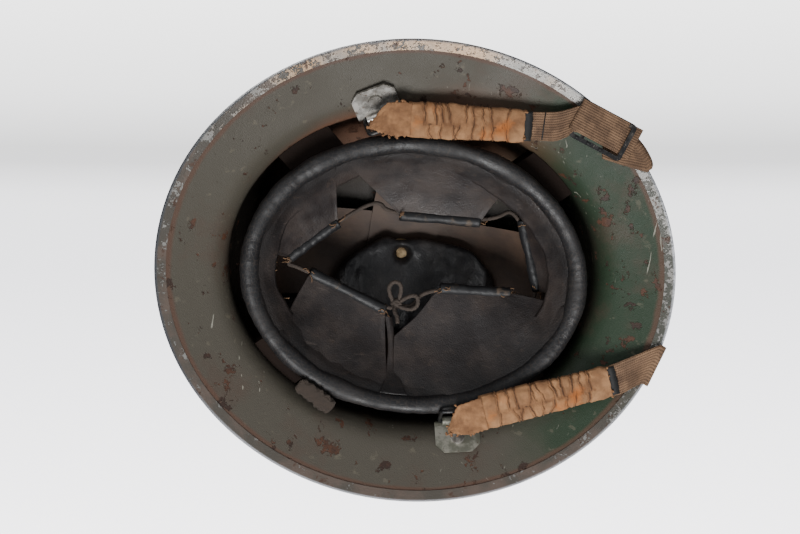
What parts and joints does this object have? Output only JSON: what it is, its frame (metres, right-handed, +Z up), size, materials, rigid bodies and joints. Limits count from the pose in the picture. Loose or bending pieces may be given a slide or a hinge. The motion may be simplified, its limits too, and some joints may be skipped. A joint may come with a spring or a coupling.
{
  "type": "brodie helmet",
  "caption": "Steel bowl helmet with a wide brim, folded rim band, laced tongue liner and crown cushion, and a sprung webbing chin strap stowed across the brim.",
  "frame": {"origin": "centre of the overall box at floor level, where the helmet stands crown up on its rim and strap", "axes": "+X along the longer way of the brim, towards the folded strap; +Y across it; +Z up through the crown"},
  "size_m": [0.312, 0.2769, 0.1188],
  "materials": {
    "green_paint": "worn textured olive paint, chipped to rust",
    "band_paint": "paint worn to bright metal in patches",
    "oilcloth": "glossy, crazed black covering",
    "tongue_leather": "brown-grey, darker glossy hems",
    "fibre": "dark brown pressed fibre",
    "pad_leather": "black, lobed",
    "felt": "brown felt",
    "lace_cord": "brown twisted cord",
    "rubber": "matt",
    "bright_steel": "worn bright plate",
    "dark_steel": "dark, edges worn bright",
    "olive_steel": "olive paint, worn",
    "brass": "dull",
    "sleeve_cloth": "tan gathered cloth, rust stained",
    "webbing": "khaki brown, ribbed weave"
  },
  "bodies": {
    "helmet": {"shell": "green_paint", "rim_band": "band_paint", "rolled_edge": "oilcloth", "headband": "oilcloth", "long_bar": "fibre", "cross_bar": "fibre", "liner_rivets": "brass", "crown_bolt": "olive_steel", "crown_spacer": "rubber", "crown_washer": "brass", "crown_nut": "brass", "buffers": "rubber", "crown_pad": "pad_leather", "tongue_rear_left": "tongue_leather", "tongue_rear_right": "tongue_leather", "tongue_front": "tongue_leather", "tongue_far": "tongue_leather", "tongue_left": "tongue_leather", "tongue_torn": "tongue_leather", "lace": "lace_cord", "felt_tab": "felt", "lug_upper": "bright_steel", "lug_lower": "olive_steel", "lug_rivets": "bright_steel", "sleeve_upper": "sleeve_cloth", "sleeve_lower": "sleeve_cloth", "hook_upper": "dark_steel", "hook_lower": "dark_steel", "springs_upper": "dark_steel", "springs_lower": "dark_steel"},
    "strap": {"strap_webbing": "webbing", "strap_end": "webbing", "buckle_frame": "dark_steel", "buckle_tab": "webbing", "plate_upper": "dark_steel", "plate_lower": "dark_steel"},
    "grip": {"buckle_bar": "dark_steel"},
    "loop_a": {"loop_upper": "dark_steel"},
    "loop_b": {"loop_lower": "dark_steel"}
  },
  "joints": [
    {"name": "strap_pull", "type": "slide", "parent": "helmet", "child": "strap", "axis": [0.9826, -0.0027, -0.1859], "range_m": [0, 0.012], "stiffness_N_per_m": 150, "deforming": ["sleeve_upper", "sleeve_lower", "springs_upper", "springs_lower"]},
    {"name": "grip_slide", "type": "slide", "parent": "strap", "child": "grip", "axis": [0.9357, 0.3446, -0.076], "range_m": [0, 0.003]},
    {"name": "loop_upper_swing", "type": "hinge", "parent": "helmet", "child": "loop_a", "pos_m": [-0.0336, -0.08934, 0.02103], "axis": [-0.8764, 0.4673, 0.1166], "range_deg": [-4, 1]},
    {"name": "loop_lower_swing", "type": "hinge", "parent": "helmet", "child": "loop_b", "pos_m": [0.03691, 0.08852, 0.01951], "axis": [0.9833, -0.1744, -0.0526], "range_deg": [-4, 1]}
  ]
}
